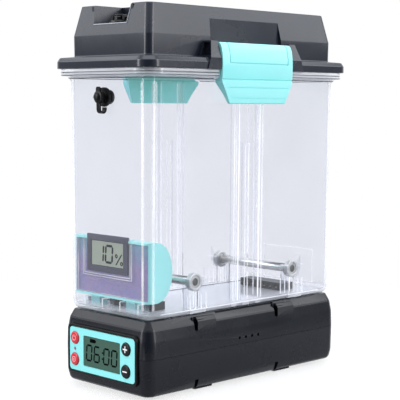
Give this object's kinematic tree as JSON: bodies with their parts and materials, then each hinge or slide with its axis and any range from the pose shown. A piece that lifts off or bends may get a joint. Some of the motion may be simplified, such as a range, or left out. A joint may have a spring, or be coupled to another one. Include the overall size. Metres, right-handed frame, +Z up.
{
  "type": "heated filament dry box",
  "caption": "Tall clear box with a latched lid and a filament outlet, on a heated drying dock with a control panel; rollers and a desiccant cartridge inside hold and dry a filament spool.",
  "frame": {"origin": "on the surface the feet stand on, under the middle of the dock", "axes": "+Z up, -Y out of the control panel, +X to the right of the panel as its user sees it"},
  "size_m": [0.1348, 0.2696, 0.342],
  "materials": {
    "dock_plastic": "fine textured charcoal",
    "lid_plastic": "fine textured dark grey",
    "clear_plastic": "clear and polished",
    "teal_plastic": "satin mint green",
    "black_plastic": "satin black",
    "red_plastic": "coral red",
    "duct_plastic": "dark grey",
    "gauge_plastic": "satin grey",
    "display": "grey green display",
    "lamp": "tinted lens",
    "circuit_board": "green solder mask",
    "desiccant": "violet beads",
    "rubber": "soft black",
    "steel": "bright",
    "heater_metal": "plain"
  },
  "bodies": {
    "dock": {"dock_lower_shell": "dock_plastic", "dock_upper_shell": "dock_plastic", "panel_bezel": "black_plastic", "control_panel": "teal_plastic", "dock_display": "display", "status_lamp": "lamp", "control_board": "circuit_board", "air_duct": "duct_plastic", "heater_block": "heater_metal", "fan_frame": "black_plastic", "power_board": "circuit_board", "power_inlet": "black_plastic", "foot_1": "rubber", "foot_2": "rubber", "foot_3": "rubber", "foot_4": "rubber", "case_screw_1": "steel", "case_screw_2": "steel", "case_screw_3": "steel", "case_screw_4": "steel"},
    "fan": {"fan_rotor": "black_plastic"},
    "power_key": {"power_button": "red_plastic"},
    "mode_key": {"mode_button": "red_plastic"},
    "plus_key": {"plus_button": "black_plastic"},
    "minus_key": {"minus_button": "black_plastic"},
    "box": {"box_shell": "clear_plastic", "front_valve_cap": "black_plastic", "rear_valve_cap": "black_plastic", "front_outlet": "black_plastic", "front_outlet_nut": "black_plastic", "front_left_bearing_outer": "steel", "front_right_bearing_outer": "steel", "rear_left_bearing_outer": "steel", "rear_right_bearing_outer": "steel"},
    "front_roller": {"front_shaft": "steel", "front_left_bearing_inner": "steel", "front_right_bearing_inner": "steel"},
    "rear_roller": {"rear_shaft": "steel", "rear_left_bearing_inner": "steel", "rear_right_bearing_inner": "steel"},
    "outlet_plug": {"front_plug": "rubber"},
    "cartridge": {"cartridge_shell": "teal_plastic", "cartridge_window": "clear_plastic", "desiccant_fill": "desiccant", "gauge_case": "gauge_plastic", "gauge_screen": "display", "gauge_cell": "steel"},
    "lid": {"lid_shell": "lid_plastic", "lid_gasket": "rubber", "left_latch_pin": "steel", "right_latch_pin": "steel", "top_outlet": "black_plastic"},
    "latch_left": {"left_latch": "teal_plastic"},
    "latch_right": {"right_latch": "teal_plastic"},
    "lid_plug": {"top_plug": "rubber"}
  },
  "joints": [
    {"name": "fan_spin", "type": "hinge", "parent": "dock", "child": "fan", "pos_m": [0, 0, 0.016], "axis": [0, 0, 1], "continuous": true},
    {"name": "power_button_press", "type": "slide", "parent": "dock", "child": "power_key", "axis": [0, 1, 0], "range_m": [0, 0.0008], "stiffness_N_per_m": 300, "springref_m": -0.0005},
    {"name": "mode_button_press", "type": "slide", "parent": "dock", "child": "mode_key", "axis": [0, 1, 0], "range_m": [0, 0.0008], "stiffness_N_per_m": 300, "springref_m": -0.0005},
    {"name": "plus_button_press", "type": "slide", "parent": "dock", "child": "plus_key", "axis": [0, 1, 0], "range_m": [0, 0.0008], "stiffness_N_per_m": 300, "springref_m": -0.0005},
    {"name": "minus_button_press", "type": "slide", "parent": "dock", "child": "minus_key", "axis": [0, 1, 0], "range_m": [0, 0.0008], "stiffness_N_per_m": 300, "springref_m": -0.0005},
    {"name": "box_lift", "type": "slide", "parent": "dock", "child": "box", "axis": [0, 0, 1], "range_m": [0, 0.06]},
    {"name": "front_roller_spin", "type": "hinge", "parent": "box", "child": "front_roller", "pos_m": [0, -0.062, 0.0972], "axis": [1, 0, 0], "continuous": true},
    {"name": "rear_roller_spin", "type": "hinge", "parent": "box", "child": "rear_roller", "pos_m": [0, 0.069, 0.0972], "axis": [1, 0, 0], "continuous": true},
    {"name": "front_plug_pull", "type": "slide", "parent": "box", "child": "outlet_plug", "axis": [0, -1, 0], "range_m": [0, 0.015]},
    {"name": "cartridge_lift", "type": "slide", "parent": "box", "child": "cartridge", "axis": [0, 0, 1], "range_m": [0, 0.09]},
    {"name": "lid_lift", "type": "slide", "parent": "box", "child": "lid", "axis": [0, 0, 1], "range_m": [0, 0.08]},
    {"name": "left_latch_swing", "type": "hinge", "parent": "lid", "child": "latch_left", "pos_m": [-0.0585, 0, 0.303], "axis": [0, 1, 0], "range_deg": [0, 100]},
    {"name": "right_latch_swing", "type": "hinge", "parent": "lid", "child": "latch_right", "pos_m": [0.0585, 0, 0.303], "axis": [0, -1, 0], "range_deg": [0, 100]},
    {"name": "top_plug_pull", "type": "slide", "parent": "lid", "child": "lid_plug", "axis": [0, 0, 1], "range_m": [0, 0.015]}
  ]
}
